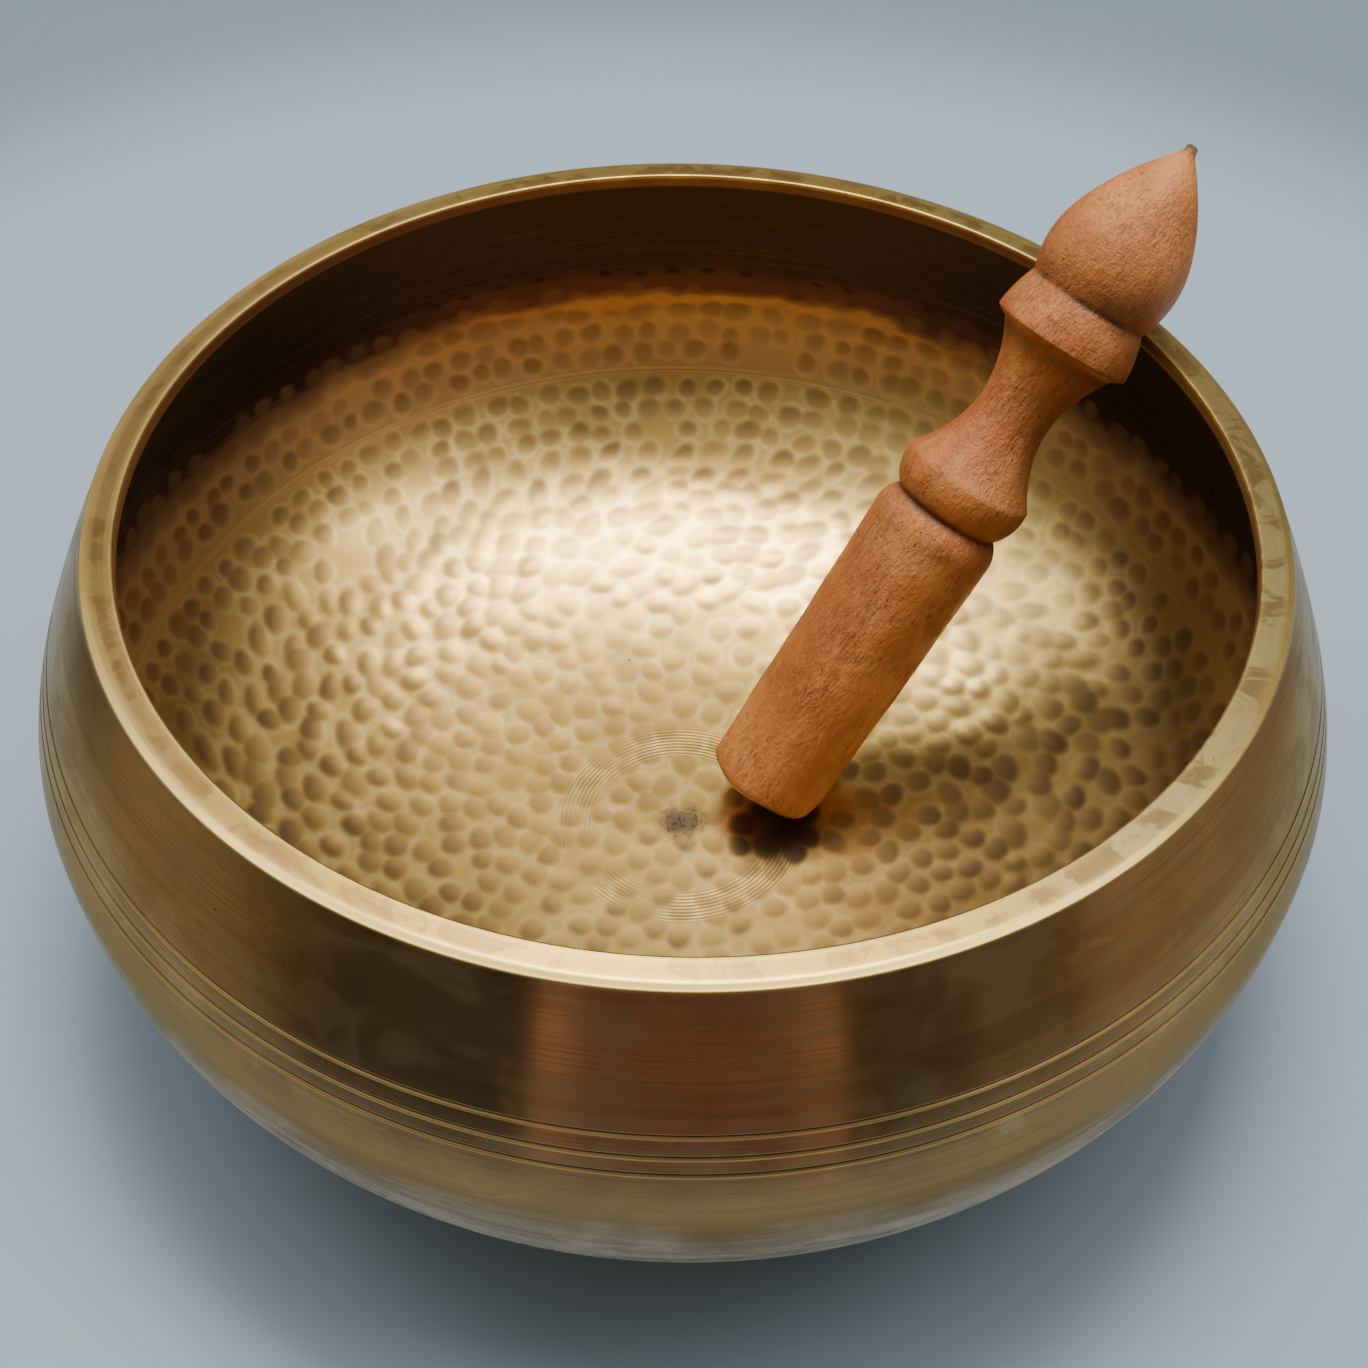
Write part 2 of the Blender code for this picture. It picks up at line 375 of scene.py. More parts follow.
def closed_mesh(name, grid, masks):
    """A mesh from a grid of rings, closed with a point at each end, with its masks as attributes."""
    rows, columns = grid.shape[:2]
    first, last = grid[0].mean(0), grid[-1].mean(0)
    vertices = np.concatenate([grid.reshape(-1, 3), first[None], last[None]])
    ring = np.arange(columns)
    after = np.roll(ring, -1)
    start = np.arange(rows - 1)[:, None] * columns
    quads = np.stack([start + ring, start + after, start + columns + after, start + columns + ring], -1)
    quads = quads.reshape(-1, 4)
    bottom = rows * columns
    fan_first = np.stack([np.full(columns, bottom), after, ring], 1)
    base = (rows - 1) * columns
    fan_last = np.stack([np.full(columns, bottom + 1), base + ring, base + after], 1)
    corners = np.concatenate([quads.ravel(), fan_first.ravel(), fan_last.ravel()])
    sizes = np.concatenate([np.full(len(quads), 4), np.full(2 * columns, 3)])
    mesh = bpy.data.meshes.new(name)
    mesh.vertices.add(len(vertices))
    mesh.vertices.foreach_set("co", vertices.astype(np.float32).ravel())
    mesh.loops.add(len(corners))
    mesh.loops.foreach_set("vertex_index", corners.astype(np.int32))
    mesh.polygons.add(len(sizes))
    mesh.polygons.foreach_set("loop_start", np.concatenate([[0], np.cumsum(sizes)[:-1]]).astype(np.int32))
    mesh.update(calc_edges=True)
    mesh.validate()
    mesh.shade_smooth()
    for label, values in masks.items():
        layer = mesh.attributes.new(label, "FLOAT", "POINT")
        data = np.concatenate([values.ravel(), [values[0].mean(), values[-1].mean()]])
        layer.data.foreach_set("value", data.astype(np.float32))
    return mesh


def add_piece(name, mesh, material):
    piece = bpy.data.objects.new(name, mesh)
    mesh.materials.append(material)
    bpy.context.scene.collection.objects.link(piece)
    return piece


# ---- materials

class Nodes:
    """Adds nodes to one material or world, and joins them."""

    def __init__(self, owner):
        owner.use_nodes = True
        self.owner = owner
        self.tree = owner.node_tree
        self.shader = self.tree.nodes.get("Principled BSDF")
        self.colour = None

    def add(self, kind, inputs=None, **settings):
        node = self.tree.nodes.new("ShaderNode" + kind)
        for key, value in settings.items():
            setattr(node, key, value)
        for key, value in (inputs or {}).items():
            self.join(value, node.inputs[key])
        return node

    def join(self, value, socket):
        """Links a value to a socket, or sets it there; a colour is given by its three parts."""
        if isinstance(value, bpy.types.NodeSocket):
            self.tree.links.new(value, socket)
        else:
            socket.default_value = (*value, 1.0) if socket.type == "RGBA" else value

    def own_place(self):
        """The place on the piece, in metres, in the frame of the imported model."""
        return self.add("TexCoord").outputs["Object"]

    def parts(self, vector):
        return self.add("SeparateXYZ", {0: vector}).outputs

    def set(self, name, value):
        """Gives one of the shader's own sockets a value, or a link."""
        self.join(value, self.shader.inputs[name])

    def math(self, operation, first, second=0.0, clamp=False):
        inputs = {0: first, 1: second}
        return self.add("Math", inputs, operation=operation, use_clamp=clamp).outputs[0]

    def plus(self, first, second):
        return self.math("ADD", first, second)

    def less(self, first, second, clamp=False):
        return self.math("SUBTRACT", first, second, clamp)

    def times(self, first, second, clamp=False):
        return self.math("MULTIPLY", first, second, clamp)

    def line(self, start, value, gain):
        """The start, plus the value times the gain."""
        return self.plus(start, self.times(value, gain))

    def rest(self, value, share):
        """One, less a share of the value."""
        return self.less(1.0, self.times(value, share))

    def wobble(self, noise, size):
        """A noise as an offset to both sides of nothing."""
        return self.times(self.less(noise, 0.5), size)

    def ramp(self, value, low, high):
        """Rises smoothly from 0 at low to 1 at high; low may be the larger of the two."""
        return self.add("MapRange", {"Value": value, "From Min": low, "From Max": high},
                        interpolation_type="SMOOTHSTEP").outputs[0]

    def scale(self, place, x, y, z):
        """The place with each of its directions stretched by its own factor."""
        return self.add("VectorMath", {0: place, 1: (x, y, z)}, operation="MULTIPLY").outputs[0]

    def length(self, vector):
        return self.add("VectorMath", {0: vector}, operation="LENGTH").outputs["Value"]

    def distance(self, place, point):
        inputs = {0: place, 1: point}
        return self.add("VectorMath", inputs, operation="DISTANCE").outputs["Value"]

    def specks(self, place, spacing, size, share):
        """Spots of one size, at most one in each cell of the spacing, in only a share of the cells."""
        cells = self.add("TexVoronoi", {"Vector": place, "Scale": 1.0 / spacing})
        near = self.ramp(cells.outputs["Distance"], size / spacing, 0.5 * size / spacing)
        chance = self.math("FRACT", self.times(cells.outputs["Color"], 9.0))
        return self.times(near, self.math("LESS_THAN", chance, share))

    def bump(self, height):
        """Fine relief, in metres."""
        bump = self.add("Bump", {"Strength": 1.0, "Distance": 1.0, "Height": height})
        self.set("Normal", bump.outputs[0])

    def attribute(self, name):
        return self.add("Attribute", attribute_name=name).outputs["Fac"]

    def noise(self, place, scale, detail=4.0, roughness=0.55, distortion=0.0):
        inputs = {"Vector": place, "Scale": scale, "Detail": detail, "Roughness": roughness,
                  "Distortion": distortion}
        return self.add("TexNoise", inputs).outputs["Fac"]

    def coat(self, mask, paint, share=None):
        """Lays a paint over the colour so far where the mask is, in full or only in a share."""
        mask = mask if share is None else self.times(mask, share)
        self.colour = self.mix(mask, self.colour, paint)

    def mix(self, share, first, second):
        node = self.add("Mix", data_type="RGBA")
        self.join(share, node.inputs[0])
        self.join(first, node.inputs[6])
        self.join(second, node.inputs[7])
        return node.outputs[2]


BRONZE_BRIGHT = (0.90, 0.56, 0.145)
BRONZE_DULL = (0.79, 0.49, 0.125)
BRONZE_WALL = (0.68, 0.45, 0.145)
BRONZE_WALL_TOP = (0.70, 0.51, 0.30)
BRONZE_COPPERY = (0.62, 0.37, 0.25)
BRONZE_BROWN = (0.33, 0.205, 0.085)
BRONZE_POLISHED = (1.0, 0.70, 0.25)
BRONZE_OLIVE = (0.52, 0.42, 0.14)
DEEP_BROWN = (0.145, 0.078, 0.034)
BRONZE_RUBBED = (0.98, 0.71, 0.26)
RING_GOLD_AND_GLOW = (0.90, 0.58, 0.28)
BROWN_TARNISH_AND_SHADE = (0.080, 0.055, 0.060)
RED_TARNISH_AND_SHADE = (0.21, 0.095, 0.085)
BLACK_TARNISH_AND_SHADE = (0.008, 0.008, 0.009)
STAIN_GREY = (0.10, 0.085, 0.075)
FOOT_SHADOW = (0.055, 0.034, 0.030)
DIRT = (0.05, 0.04, 0.03)
FINE_RELIEF = 0.000006          # depth of the finest unevenness of any surface, in metres

# Places on the inside, each given as where a change begins and where it is complete, in metres.
# Heights on the wall, from the floor up:
WALL_DULLS = (0.018, 0.045)
WALL_TOP_DULLS = (0.040, 0.054)
WALL_ROUGHENS = (0.026, 0.046)
FILM_THICKENS = (0.030, 0.050)
HALOS_FADE = (0.030, 0.055)
LATHE_LINES_START, LATHE_LINES_END = (0.0412, 0.0428), (0.0458, 0.0440)
WALL_COPPERY = (0.0575, 0.0640)
RING_LOW, RING_HIGH = 0.0634, 0.0650    # the clean turned ring above the beaten wall
RING_SIDES = (0.035, 0.110)             # how far out from the middle the ring's painted glow fades, and the tarnish turns to painted black, on both sides
TARNISH_AND_SHADE_DARKENS = (0.0700, 0.0765)
SCALLOPS_END = (0.0716, 0.0700)         # up to here the tarnish is thinner in the marks
SMALL_MARKS = (0.0708, 0.0716)          # the topmost round of marks, above all the others
# The lathe's rings round the floor's middle, by radius:
CHATTER_START, CHATTER_END = 0.0220, 0.0305
CHATTER_FADE = 0.001
CHATTER_PITCH, CHATTER_RELIEF = 0.00100, 0.000012
# The patches of the floor:
POLISHED_MIDDLE, POLISHED_REACH = (0.0, -0.050, WALL), (0.060, 0.010)
OLIVE_SIDE, OLIVE_TOP = (0.020, 0.080), (0.058, 0.045)
NEAR_RIGHT_SLANT, NEAR_RIGHT_EDGE, NEAR_RIGHT_SIDE = 0.42, (-0.012, 0.022), (0.012, 0.072)
NEAR_LEFT_X, NEAR_LEFT_Y, NEAR_LEFT_EDGE = -0.75, -0.50, (0.030, 0.062)
RIGHT_WALL_SIDE, RIGHT_WALL_RISE = (0.078, 0.126), (0.006, 0.030)
LEFT_WALL_SIDE, LEFT_WALL_RISE = (-0.086, -0.130), (0.010, 0.034)
SPOT_REACH = (0.0080, 0.0020)
# the painted shadow under the striker's foot: its middle and its reach
FOOT_SHADOW_MIDDLE = (STRIKER_FOOT.x + 0.0045, STRIKER_FOOT.y - 0.0065, WALL)
FOOT_SHADOW_REACH = (0.0150, 0.0060)


def bronze_inside():
    """Beaten bronze: patina in the cups, rubbed rings round them, and a wall under the lip darkened partly
    by tarnish and partly by a painted dark reflection.
    """
    n = Nodes(bpy.data.materials.new("bronze_inside"))
    place = n.own_place()
    x, y, z = n.parts(place)
    radius = n.length(n.scale(place, 1.0, 1.0, 0.0))
    cup, edge = n.attribute("cup"), n.attribute("edge")
    cloud = n.noise(place, 26.0, 5.0, 0.6, 0.4)
    blotch = n.noise(place, 80.0, 2.0, 0.4)
    mottle = n.noise(place, 420.0, 3.0, 0.6)
    streak = n.noise(n.scale(place, 12.0, 12.0, 900.0), 1.0, 3.0, 0.6)

    # the wall is duller than the floor, then coppery up to the clean ring
    n.colour = n.mix(n.ramp(cloud, 0.35, 0.70), BRONZE_BRIGHT, BRONZE_DULL)
    uneven = n.less(n.plus(z, n.wobble(blotch, 0.0075)), n.times(cup, 0.0011))
    n.coat(n.ramp(z, *WALL_DULLS), BRONZE_WALL)
    n.coat(n.ramp(z, *WALL_TOP_DULLS), BRONZE_WALL_TOP)
    n.coat(n.ramp(uneven, *WALL_COPPERY), BRONZE_COPPERY)

    # the cups hold a brown patina, and the metal round each of them is rubbed clean here and there
    dark = n.times(cup, n.line(0.62, mottle, 0.45), True)
    n.coat(dark, BRONZE_BROWN)
    halo = n.times(n.ramp(n.noise(place, 130.0, 2.0), 0.30, 0.62),
                   n.rest(n.ramp(z, *HALOS_FADE), 0.66), True)
    n.coat(n.times(edge, halo), BRONZE_RUBBED)

    # lines left by the lathe, a few round the wall and some round the floor's middle
    line = n.noise(n.scale(place, 5.0, 5.0, 3600.0), 1.0, 2.0, 0.6)
    lined = n.times(n.ramp(z, *LATHE_LINES_START), n.ramp(z, *LATHE_LINES_END))
    lined = n.times(lined, n.ramp(line, 0.50, 0.66))
    n.coat(lined, BRONZE_RUBBED, 0.75)
    chatter = n.math("SINE", n.times(radius, 2.0 * math.pi / CHATTER_PITCH))
    worn = n.times(n.ramp(radius, CHATTER_START - CHATTER_FADE, CHATTER_START + CHATTER_FADE),
                   n.ramp(radius, CHATTER_END + CHATTER_FADE, CHATTER_END - CHATTER_FADE))
    worn = n.times(worn, n.ramp(n.noise(place, 60.0, 3.0), 0.36, 0.56))
    worn = n.times(worn, n.rest(dark, 0.4))
    crest = n.times(worn, n.times(n.ramp(chatter, -0.2, 0.9), 0.50))
    n.coat(crest, BRONZE_RUBBED)
    trough = n.times(worn, n.times(n.ramp(chatter, -0.2, -0.9), 0.42))
    n.coat(trough, BRONZE_BROWN)
    chatter = n.times(chatter, worn)

    # polished by cloths on the near side of the floor
    near_side = n.ramp(n.distance(place, POLISHED_MIDDLE), *POLISHED_REACH)
    polished = n.times(near_side, n.less(0.38, n.times(cup, 0.36)), True)
    n.coat(polished, BRONZE_POLISHED)

    # an olive patina on the right; deep brown low on the near right and up both walls, and on the near left
    # a painted shade where the lip shades the floor
    olive = n.times(n.times(n.ramp(x, *OLIVE_SIDE), n.ramp(z, *OLIVE_TOP)), 0.35)
    n.coat(olive, BRONZE_OLIVE)
    nearness = n.less(n.times(x, NEAR_RIGHT_SLANT), y)
    nearness = n.plus(nearness, n.wobble(cloud, 0.016))
    near_right = n.times(n.ramp(nearness, *NEAR_RIGHT_EDGE), n.ramp(x, *NEAR_RIGHT_SIDE))
    near_right = n.times(near_right, n.line(0.36, cup, 0.48))
    # painted shade on the near left of the floor, next to the lip
    leftness = n.plus(n.times(x, NEAR_LEFT_X), n.times(y, NEAR_LEFT_Y))
    near_left_shade = n.times(n.ramp(leftness, *NEAR_LEFT_EDGE), n.line(0.18, cup, 0.44))
    deep_brown_and_shade = n.math("MAXIMUM", near_right, near_left_shade)
    worn_cup = n.line(0.66, cup, 0.34)
    # darker up both side walls
    right_wall = n.times(n.ramp(x, *RIGHT_WALL_SIDE), n.ramp(z, *RIGHT_WALL_RISE))
    left_wall = n.times(n.ramp(x, *LEFT_WALL_SIDE), n.ramp(z, *LEFT_WALL_RISE))
    walls = n.plus(n.times(right_wall, 0.94), n.times(left_wall, 0.90))
    deep_brown_and_shade = n.math("MAXIMUM", deep_brown_and_shade, n.times(walls, worn_cup), True)
    n.coat(deep_brown_and_shade, DEEP_BROWN)

    # the clean ring, on the far side and the near side but not at the two sides, painted gold: partly clean
    # turned metal, partly a painted glow
    ring = n.times(n.ramp(uneven, RING_LOW - 0.0018, RING_LOW),
                   n.ramp(uneven, RING_HIGH + 0.0008, RING_HIGH))
    side = n.ramp(n.math("ABSOLUTE", x), *RING_SIDES)
    ring = n.times(n.times(ring, n.less(1.0, side)), n.ramp(cloud, 0.30, 0.60))
    n.coat(ring, RING_GOLD_AND_GLOW, 0.75)

    # above it the wall darkens, reddish then dark, partly tarnish and partly a painted dark reflection; the
    # black at the sides is a painted dark reflection; it is thin over the upper marks
    tarnish_and_shade_colour = n.mix(n.ramp(uneven, *TARNISH_AND_SHADE_DARKENS), RED_TARNISH_AND_SHADE, BROWN_TARNISH_AND_SHADE)
    tarnish_and_shade_colour = n.mix(n.times(side, 0.85), tarnish_and_shade_colour, BLACK_TARNISH_AND_SHADE)
    dark_start = n.less(RING_HIGH - 0.0008, n.times(side, 0.0100))
    tarnish_and_shade = n.times(n.ramp(uneven, dark_start, RING_HIGH + 0.0032), n.line(0.80, streak, 0.40), True)
    scallops = n.times(cup, n.ramp(z, *SCALLOPS_END))
    tarnish_and_shade = n.times(tarnish_and_shade, n.rest(scallops, 0.45))
    n.coat(tarnish_and_shade, tarnish_and_shade_colour)
    # the small marks high in the tarnish are packed with black
    n.coat(n.times(cup, n.ramp(z, *SMALL_MARKS), True), BLACK_TARNISH_AND_SHADE)

    # a worn grey spot in the very middle, and specks of dirt
    spot = n.ramp(n.plus(radius, n.wobble(mottle, 0.0080)), *SPOT_REACH)
    n.coat(spot, STAIN_GREY, 0.80)
    grit = n.times(spot, n.ramp(n.noise(place, 900.0, 2.0), 0.56, 0.64))
    speck = n.math("MAXIMUM", n.specks(place, 0.017, 0.0005, 0.30), grit)
    n.coat(speck, DIRT, 0.85)
    # a painted shadow on the floor where the striker's foot rests
    from_foot = n.line(n.distance(place, FOOT_SHADOW_MIDDLE), cup, -0.0040)
    n.coat(n.ramp(from_foot, *FOOT_SHADOW_REACH), FOOT_SHADOW, 0.80)
    n.set("Base Color", n.colour)

    film = n.plus(n.times(n.ramp(z, *FILM_THICKENS), 0.20), n.times(cup, 0.06))
    # the painted black at the sides is also made less shiny
    dark_sides = n.times(tarnish_and_shade, side)
    n.set("Specular IOR Level", n.less(0.5, n.times(dark_sides, 0.45)))
    n.set("Metallic", n.less(0.86, n.line(film, dark_sides, 0.55), True))
    rough = n.plus(n.times(cup, 0.04), n.line(0.22, cloud, 0.10))
    rough = n.line(rough, n.ramp(z, *WALL_ROUGHENS), 0.17)
    n.set("Roughness", n.less(rough, n.times(ring, 0.12)))
    relief = n.line(n.times(chatter, CHATTER_RELIEF), mottle, FINE_RELIEF)
    n.bump(n.line(relief, n.times(streak, n.ramp(z, *FILM_THICKENS)), FINE_RELIEF))
    return n.owner


SHOULDER_GOLD = (0.58, 0.37, 0.18)
SHOULDER_OLIVE = (0.33, 0.245, 0.125)
SHOULDER_WORN = (0.66, 0.44, 0.23)
SHOULDER_BROWN = (0.41, 0.24, 0.115)
SHOULDER_TINT = (0.72, 0.66, 0.54)
BELLY_SHADE_BROWN = (0.42, 0.24, 0.10)
STREAK_BROWN = (0.30, 0.17, 0.07)
BAND_BROWN = (0.36, 0.22, 0.10)
GROOVE_DARK = (0.07, 0.038, 0.014)
BURR_HIGHLIGHT_GOLD = (0.98, 0.66, 0.16)
PALE_HAZE_AND_REFLECTION = (0.84, 0.74, 0.60)
NICK_PALE = (0.85, 0.77, 0.62)
GROOVES_FOOT = HEIGHT - GROOVE_DROPS[-1]
STREAK_RELIEF = 0.000016
BOTTOM_HAZE_TOP, BOTTOM_HAZE_EDGE = 0.070, 0.018
NEAR_SIDE_REFLECTION = (0.030, -0.070)        # weaker on the far side; the extra on the near side is a painted reflection
HAZE_RISE = (0.016, 0.038)              # weaker too close to the foot


def bronze_outside():
    """Turned bronze: fine lines run round the bowl, and draw each reflection out up and down."""
    n = Nodes(bpy.data.materials.new("bronze_outside"))
    place = n.own_place()
    y, z = n.parts(place)[1:]
    streak = n.noise(n.scale(place, 9.0, 9.0, 2200.0), 1.0, 3.0, 0.6)
    broad = n.noise(n.scale(place, 7.0, 7.0, 260.0), 1.0, 3.0, 0.6)
    cloud = n.noise(place, 22.0, 5.0, 0.6, 0.5)
    fine = n.noise(place, 300.0, 4.0, 0.65)
    n.colour = n.mix(n.ramp(cloud, 0.35, 0.70), SHOULDER_GOLD, SHOULDER_BROWN)
    # browner below the grooves: a painted darker reflection of the shaded floor
    n.coat(n.ramp(z, GROOVES_FOOT + 0.004, GROOVES_FOOT - 0.006), BELLY_SHADE_BROWN)
    n.coat(n.ramp(streak, 0.45, 0.75), STREAK_BROWN, 0.60)
    n.coat(n.ramp(broad, 0.46, 0.66), BAND_BROWN, 0.50)

    # an olive patina in patches, and paler worn metal in others
    patch = n.noise(n.scale(place, 46.0, 46.0, 70.0), 1.0, 5.0, 0.62, 0.8)
    olive = n.times(n.ramp(patch, 0.46, 0.62), 0.42)
    n.coat(olive, SHOULDER_OLIVE)
    n.coat(n.ramp(patch, 0.44, 0.32), SHOULDER_WORN, 0.40)

    # low on the belly it is pale up to a wavy edge: partly scuffed where it rests and is handled from
    # below, partly a painted reflection of the pale floor, strongest on the near side
    height = n.plus(z, n.wobble(cloud, 0.030))
    height = n.plus(height, n.wobble(streak, 0.012))
    haze_and_reflection = n.ramp(height, BOTTOM_HAZE_TOP, BOTTOM_HAZE_TOP - BOTTOM_HAZE_EDGE)
    scuffs = n.noise(n.scale(place, 26.0, 26.0, 420.0), 1.0, 5.0, 0.7, 0.6)
    haze_and_reflection = n.times(haze_and_reflection, n.line(0.60, n.ramp(scuffs, 0.36, 0.62), 0.40), True)
    haze_and_reflection = n.times(haze_and_reflection, n.line(0.40, n.ramp(y, *NEAR_SIDE_REFLECTION), 0.60))
    haze_and_reflection = n.times(haze_and_reflection, n.line(0.45, n.ramp(z, *HAZE_RISE), 0.55))
    n.coat(haze_and_reflection, PALE_HAZE_AND_REFLECTION, 0.90)

    # pale nicks below the grooves, and small dark dots all over
    nick = n.specks(n.scale(place, 1.0, 1.0, 0.4), 0.040, 0.0013, 0.30)
    nick = n.times(nick, n.ramp(z, GROOVES_FOOT, GROOVES_FOOT - 0.010))
    dot = n.specks(place, 0.014, 0.0004, 0.25)
    n.coat(nick, NICK_PALE, 0.8)
    n.coat(dot, DIRT, 0.7)
    # darker in the grooves, and a painted highlight along the burr below each
    wear_and_highlight, darkened = n.attribute("wear_and_highlight"), n.attribute("darkened")
    n.coat(darkened, GROOVE_DARK)
    n.coat(wear_and_highlight, BURR_HIGHLIGHT_GOLD)
    n.set("Base Color", n.colour)

    n.set("Metallic", n.rest(haze_and_reflection, 0.35))
    n.set("Specular Tint", SHOULDER_TINT)
    n.set("Anisotropic", 0.75)
    n.set("Anisotropic Rotation", 0.25)
    rough = n.line(0.12, streak, 0.11)
    rough = n.line(rough, olive, 0.16)
    n.set("Roughness", n.line(rough, haze_and_reflection, 0.12))
    n.set("Tangent", n.add("Tangent", direction_type="RADIAL", axis="Z").outputs[0])
    n.bump(n.line(n.times(streak, STREAK_RELIEF), n.times(fine, haze_and_reflection), FINE_RELIEF))
    return n.owner


LIP_GOLD = (0.60, 0.40, 0.105)
LIP_OLIVE = (0.53, 0.385, 0.135)
LIP_YELLOW = (0.43, 0.262, 0.046)
LIP_ROSE = (0.25, 0.125, 0.046)
LIP_PALE = (0.88, 0.69, 0.30)
LIP_STAIN = (0.27, 0.16, 0.060)
LIP_WEAR_AND_HIGHLIGHT = (0.96, 0.68, 0.21)
# Where the lip's colour changes as it runs round the bowl, by x or by y
LIP_PALE_RIGHT, LIP_PALE_BACK = (0.010, 0.085), (0.060, -0.020)
LIP_YELLOW_FRONT = (-0.085, -0.116)
LIP_STAIN_LEFT = (-0.078, -0.112)
LIP_SPOTS_LEFT = (-0.02, -0.10)
LIP_DULL_BACK = (0.0, 0.08)


def bronze_lip():
    """The lip, bright at both edges, partly worn there by the striker and by hands and partly a painted
    highlight, and mottled along its middle.
    """
    n = Nodes(bpy.data.materials.new("bronze_lip"))
    place = n.own_place()
    x, y, z = n.parts(place)
    radius = n.length(n.scale(place, 1.0, 1.0, 0.0))
    around = {0: n.times(x, 14.0), 1: n.times(y, 14.0), 2: n.times(radius, 1100.0)}
    around = n.add("CombineXYZ", around).outputs[0]
    streak = n.noise(around, 1.0, 4.0, 0.65)
    cloud = n.noise(place, 30.0, 5.0, 0.6, 0.4)
    fine = n.noise(place, 500.0, 3.0, 0.6)
    wear_and_highlight = n.attribute("wear_and_highlight")
    n.colour = n.mix(n.ramp(cloud, 0.35, 0.70), LIP_GOLD, LIP_OLIVE)
    pale = n.times(n.ramp(x, *LIP_PALE_RIGHT), n.ramp(y, *LIP_PALE_BACK))
    n.coat(pale, LIP_PALE, 0.80)
    n.coat(n.ramp(y, *LIP_YELLOW_FRONT), LIP_YELLOW, 0.80)
    handled = n.noise(place, 115.0, 4.0, 0.62, 0.6)
    n.coat(n.ramp(handled, 0.48, 0.57), LIP_ROSE, 0.62)
    n.coat(n.ramp(x, *LIP_STAIN_LEFT), LIP_STAIN, 0.35)
    stained = n.line(0.12, n.ramp(x, *LIP_SPOTS_LEFT), 0.75)
    stain = n.times(n.ramp(n.line(cloud, streak, 0.6), 0.62, 0.92), stained)
    n.coat(stain, LIP_STAIN)
    n.coat(n.ramp(streak, 0.48, 0.68), LIP_OLIVE, 0.32)
    # the edges and the bevel painted bright: wear, and a painted highlight
    n.coat(wear_and_highlight, LIP_WEAR_AND_HIGHLIGHT, 0.80)
    n.coat(n.specks(place, 0.012, 0.0004, 0.30), DIRT, 0.7)
    # the upright band inside the lip is tarnished like the wall below it
    band = n.times(n.ramp(z, HEIGHT - 0.0004, HEIGHT - 0.0012),
                   n.ramp(radius, RIM_BORE_RADIUS + 0.0020, RIM_BORE_RADIUS + 0.0010))
    n.coat(band, RED_TARNISH_AND_SHADE, 0.85)
    n.set("Base Color", n.colour)
    n.set("Metallic", 0.97)
    rough = n.line(0.25, fine, 0.07)
    rough = n.line(rough, n.ramp(y, *LIP_DULL_BACK), 0.08)
    n.set("Roughness", n.line(rough, stain, 0.15))
    n.bump(n.times(streak, FINE_RELIEF))
    return n.owner


WOOD_DARK = (0.59, 0.172, 0.040)
WOOD_LIGHT = (0.87, 0.330, 0.086)
WOOD_BAND = (0.43, 0.110, 0.027)
WOOD_PALE = (0.78, 0.37, 0.13)
WOOD_PORE = (0.13, 0.040, 0.016)
WOOD_SHADE_AND_DIRT = (0.055, 0.022, 0.012)
TURNED_RINGS = (0.058, 0.068)           # place along the stick above which the cutter's rings show
TURNED_PITCH = 0.0008
FIBRE_RELIEF, FUZZ_RELIEF, GRAIN_RELIEF = 0.00012, 0.00026, 0.00062


def hardwood():
    """Turned wood, unvarnished: short raised fibres in patches, pores, and painted shade with dirt in the
    grooves.
    """
    n = Nodes(bpy.data.materials.new("hardwood"))
    place = n.add("Attribute", attribute_name="grain").outputs["Vector"]
    z = n.parts(place)[2]
    fibre = n.noise(n.scale(place, 1.0, 1.0, 0.22), 1500.0, 3.0, 0.6)
    band = n.noise(n.scale(place, 1.0, 1.0, 0.14), 95.0, 4.0, 0.55, 0.8)
    cloud = n.noise(place, 48.0, 4.0, 0.55)
    blotch = n.noise(place, 190.0, 4.0, 0.6)
    fuzzy = n.ramp(n.noise(place, 70.0, 2.0), 0.42, 0.60)
    n.colour = n.mix(n.ramp(cloud, 0.3, 0.7), WOOD_DARK, WOOD_LIGHT)
    n.coat(n.ramp(band, 0.42, 0.68), WOOD_BAND, 0.50)
    n.coat(n.ramp(blotch, 0.52, 0.70), WOOD_PALE, 0.22)
    shade = n.times(n.ramp(fibre, 0.47, 0.62), n.line(0.12, fuzzy, 0.28))
    n.coat(shade, WOOD_PORE)
    tips = n.times(n.ramp(fibre, 0.45, 0.34), n.line(0.05, fuzzy, 0.16))
    n.coat(tips, WOOD_PALE)
    grain = n.noise(n.scale(place, 1.0, 1.0, 0.55), 820.0, 4.0, 0.7)
    valley = n.times(n.ramp(grain, 0.50, 0.36), n.line(0.05, fuzzy, 0.17))
    n.coat(valley, WOOD_PORE)
    pore = n.times(n.specks(n.scale(place, 1.0, 1.0, 0.5), 0.0016, 0.00034, 0.50),
                   n.ramp(n.noise(place, 55.0, 2.0), 0.44, 0.58))
    n.coat(pore, WOOD_PORE, 0.8)
    # painted shade in the grooves, under the collar and at the foot, with dirt
    darkened = n.times(n.attribute("darkened"), n.plus(0.45, n.ramp(cloud, 0.40, 0.60)), True)
    n.coat(darkened, WOOD_SHADE_AND_DIRT, 0.85)
    n.set("Base Color", n.colour)
    n.set("Roughness", n.line(0.42, fuzzy, 0.14))
    turned = n.times(n.math("SINE", n.times(z, 2.0 * math.pi / TURNED_PITCH)),
                     n.times(n.ramp(z, *TURNED_RINGS), FINE_RELIEF))
    relief = n.times(fibre, n.line(FIBRE_RELIEF, fuzzy, FUZZ_RELIEF))
    n.bump(n.plus(n.line(relief, grain, GRAIN_RELIEF), turned))
    return n.owner


# ---- pieces

